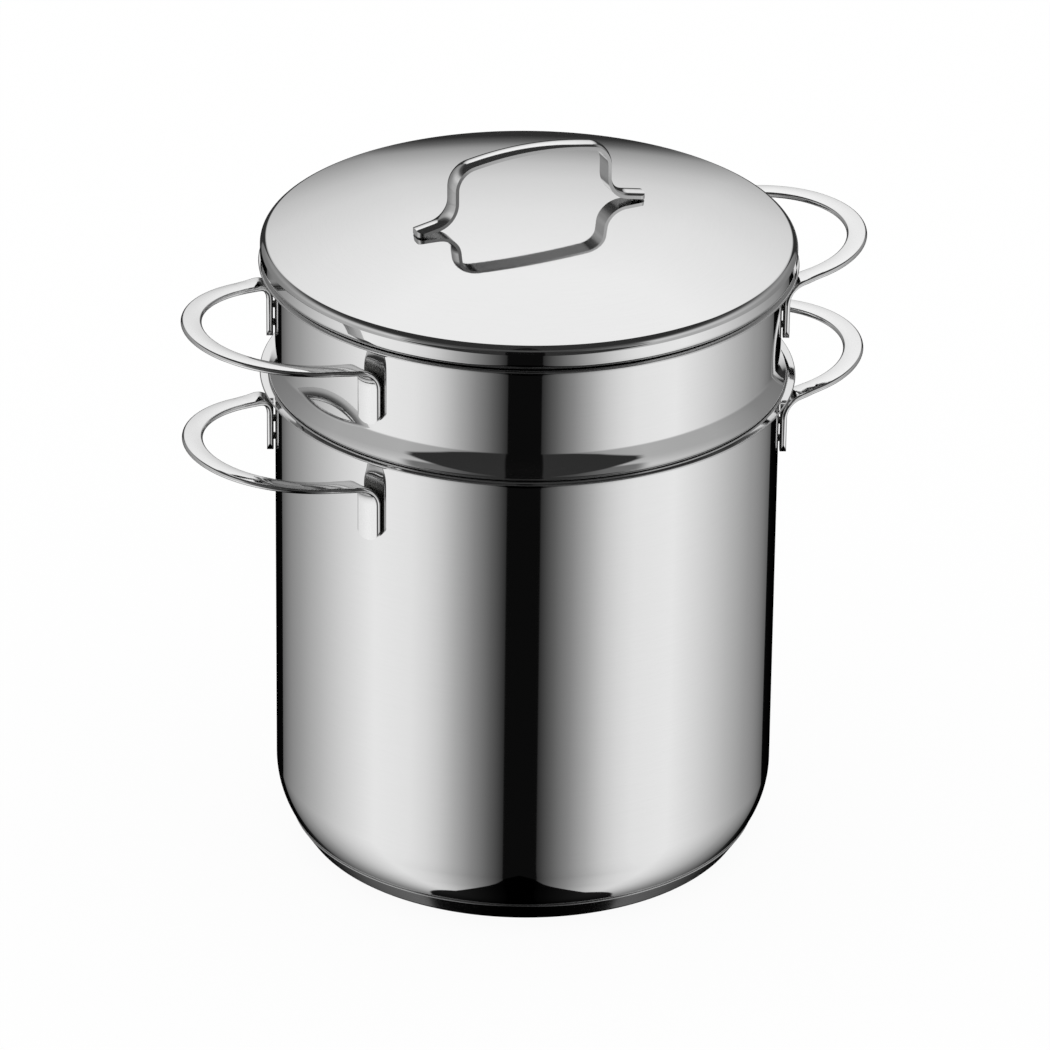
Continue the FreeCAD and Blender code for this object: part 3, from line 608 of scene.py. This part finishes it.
def low_lights(graph, side, away, height):
    """Below LIGHTS_MEET: two side lights, dark in the middle, that fade to the back and widen downwards."""
    wider = graph.rise_ramp(height, (-78, 2.0), (-60, 1.35), (-45, 1.08), (-27, 1.0))
    lit = graph.ramp(graph.times(side, wider), (0, MIDDLE_GREY), (0.117, MIDDLE_GREY), (0.12, 0.03),
                     (0.22, 0.13), (0.336, 0.28), (0.448, 0.475), (0.552, 0.7), (0.622, 0.82), (0.706, 0.92),
                     (0.86, 0.98), (1, 1))
    fading = graph.ramp(away, (0.4, 1), (0.5, 0.8), (0.6, 0.58), (0.7, 0.4), (0.8, 0.31), (0.837, 0.26),
                        (1, 0.2))
    ended = graph.times(graph.span(away, *SIDE_LIGHTS_END), graph.rise_span(height, *LOW_BEHIND_EDGE))
    # A dark disc lies straight below the pot, and the dark middle widens towards it.
    disc = graph.rise_span(height, DISC_EDGE, DISC_EDGE + 1, 1.0, 0.0)
    flare = graph.rise_ramp(height, (-73, 0.34), (-70.5, 0.305), (-66, 0.265), (-62, 0.225), (-58, 0.18),
                            (-54, 0.145), (-50, 0.122), (-46, 0.1), (-40, 0.0))
    flared = graph.span(graph.math("SUBTRACT", side, flare), *FLARE_BLUR, 1.0, 0.0)
    shut = graph.most(ended, disc, flared)
    return graph.times(lit, fading, graph.span(shut, 0, 1, 1.0, SHUT_LIGHT))


def high_lights(graph, away, height):
    """Above LIGHTS_MEET: the side lights end under a dark ceiling, and dark cloth hangs in front."""
    cloth = graph.rise_ramp(height, (-23, 0.08), (-20, 0.13), (-16, 0.175), (-12, 0.2), (-7, 0.235),
                            (-2, 0.272), (3, 0.275), (7, 0.25), (12, 0.21), (16, 0.17), (20, 0.12),
                            (24, 0.045))
    level = graph.rise_ramp(height, (-22, 0.5), (2, 0.5), (9, 0.57), (16, 0.68), (24, 0.68), (32, 0.55),
                            (38, 0.25), (44, 0.08), (54, 0.01))
    opened = graph.span(graph.math("SUBTRACT", away, cloth), *CLOTH_BLUR)
    # Higher up, the side lights are dimmer near the cloth.
    dimmed = graph.times(graph.rise_span(height, 9, 15), graph.span(away, 0.26, 0.33, 1.0, 0.0))
    opened = graph.times(opened, graph.span(dimmed, 0.0, 1.0, 1.0, DIMMED_LIGHT))
    faded = graph.ramp(away, (0.05, 0.15), (0.12, 0.35), (0.2, 0.8), (0.3, 1), (0.5, 0.9), (0.67, 0.55),
                       (0.83, 0.4), (0.84, 0.01))
    dark = graph.span(away, *MIDDLE_EDGE, MIDDLE_GREY, CLOTH_GREY)
    # A faint light over the cloth, for the lid to mirror from behind.
    faint = graph.rise_ramp(height, (25, 0), (32, 0.06), (40, 0.085), (47, 0.07), (56, 0.01))
    faint = graph.times(faint, graph.span(away, *FAINT_LIGHT_END, 1.0, 0.0))
    return graph.most(graph.times(opened, level, faded), dark, faint)


def light_behind(graph, away, height):
    """The light behind, which the lid mirrors. It fades downwards and to its sides."""
    aside = graph.most(graph.math("SUBTRACT", BEHIND_MIDDLE, away), 0.0)
    lowered = graph.math("SUBTRACT", height, graph.times(aside, BEHIND_RISE))
    light = graph.rise_ramp(lowered, (3, 0), (5, 0.11), (7, 0.33), (12, 0.6), (16, 0.74), (24, 0.88),
                            (36, 1.0))
    return graph.times(light, graph.span(away, *BEHIND_START),
                       graph.rise_span(height, *CEILING_EDGE, 1.0, 0.0))


def make_world():
    """Even white light, and for the metal to mirror a studio of two side lights, a light behind it and dark
    cloth in front and overhead."""
    world = bpy.data.worlds.new("studio")
    bpy.context.scene.world = world
    world.use_nodes = True
    graph = Graph(world.node_tree)
    outwards = graph.node("TexCoord").outputs["Generated"]
    turn = graph.node("VectorRotate", {"rotation_type": "Z_AXIS"}, Vector=outwards,
                      Angle=math.radians(STUDIO_TURN - VIEW_AZIMUTH))
    x, y, z = graph.node("SeparateXYZ", Vector=turn.outputs[0]).outputs
    side = graph.math("ABSOLUTE", x)
    away = graph.math("DIVIDE", graph.math("ARCTAN2", side, graph.times(y, -1.0)), math.pi)
    height = graph.math("ADD", graph.math("DIVIDE", graph.math("ARCSINE", z), math.pi), 0.5)
    share = graph.rise_span(height, *LIGHTS_MEET)
    high = graph.times(high_lights(graph, away, height), share)
    low = graph.times(low_lights(graph, side, away, height), graph.math("SUBTRACT", 1.0, share))
    strength = graph.math("ADD", graph.math("ADD", high, low), light_behind(graph, away, height))
    studio = graph.node("Background", Strength=strength, Color=grey(1.0))
    plain = graph.node("Background", Color=grey(1.0), Strength=1.0)
    mix = graph.node("MixShader", Fac=graph.node("LightPath").outputs["Is Glossy Ray"])
    graph.feed(mix.inputs[1], plain.outputs[0])
    graph.feed(mix.inputs[2], studio.outputs[0])
    graph.node("OutputWorld", Surface=mix.outputs[0])


def make_shells():
    """The sheet pieces, and the height of the dome's middle."""
    pot, seam_turn, seam_radius = pot_section()
    lid, dome_centre = lid_section()
    spin("pot_sheet", pot.sheet(GAUGE), ["pot_shell"])
    spin("insert_sheet", insert_section().sheet(GAUGE), ["insert_shell"], hole_cutter())
    spin("lid_sheet", lid.sheet(GAUGE), ["lid_shell"])
    spin("cap_sheet", cap_section(seam_turn, seam_radius).sheet(CAP_GAUGE), ["base_cap"])
    return dome_centre


def dress(dome_centre):
    """Gives each piece its metal."""
    mirror = steel("mirror_steel", color=(0.795, 0.805), roughness=(0.025, 0.05), marks=(14.0, 0.35),
                   bump=0.00001)
    turned = steel("turned_steel", color=(0.58, 0.68), roughness=(0.1, 0.17), marks=(30.0, 0.5),
                   bump=0.0006, anisotropy=0.3)
    strap = {"color": (0.83, 0.87), "roughness": (0.05, 0.09), "marks": 0.5, "bump": 0.00002}
    # The legs' backs and the lid handle's feet are matt and carry painted shade where they meet the pot and
    # the dome.
    leg_gap = (POT_RADIUS + LEG_GAP + limit for limit in LEG_DULL_AND_SHADE)
    looped = steel("looped_strap_steel", **strap, gap=(None, *leg_gap))
    foot_gap = (DOME_RADIUS + limit for limit in FOOT_DULL_AND_SHADE)
    bridge = steel("bridge_strap_steel", **strap, gap=(dome_centre, *foot_gap), underside=UNDERSIDE_SHADE_GREY)
    disc = steel("disc_aluminium", color=(0.7, 0.77), roughness=(0.3, 0.45), marks=(25.0, 0.6), bump=0.002)
    metals = {"pot_sheet": mirror, "insert_sheet": mirror, "lid_sheet": mirror, "cap_sheet": turned,
              "lid_handle": bridge, "base_core": disc}
    pieces = {name: bpy.data.objects[name] for name in metals if name.endswith("_sheet")}
    kept = (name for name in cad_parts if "shell" not in name and name != "base_cap")
    pieces.update((name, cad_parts[name]) for name in kept)
    for name, piece in pieces.items():
        metal = metals.get(name, looped)
        if piece.material_slots:
            for slot in piece.material_slots:
                slot.material = metal
        else:
            piece.data.materials.append(metal)


make_camera()
make_world()
make_floor()
dress(make_shells())
bpy.context.scene.view_settings.view_transform = "Standard"
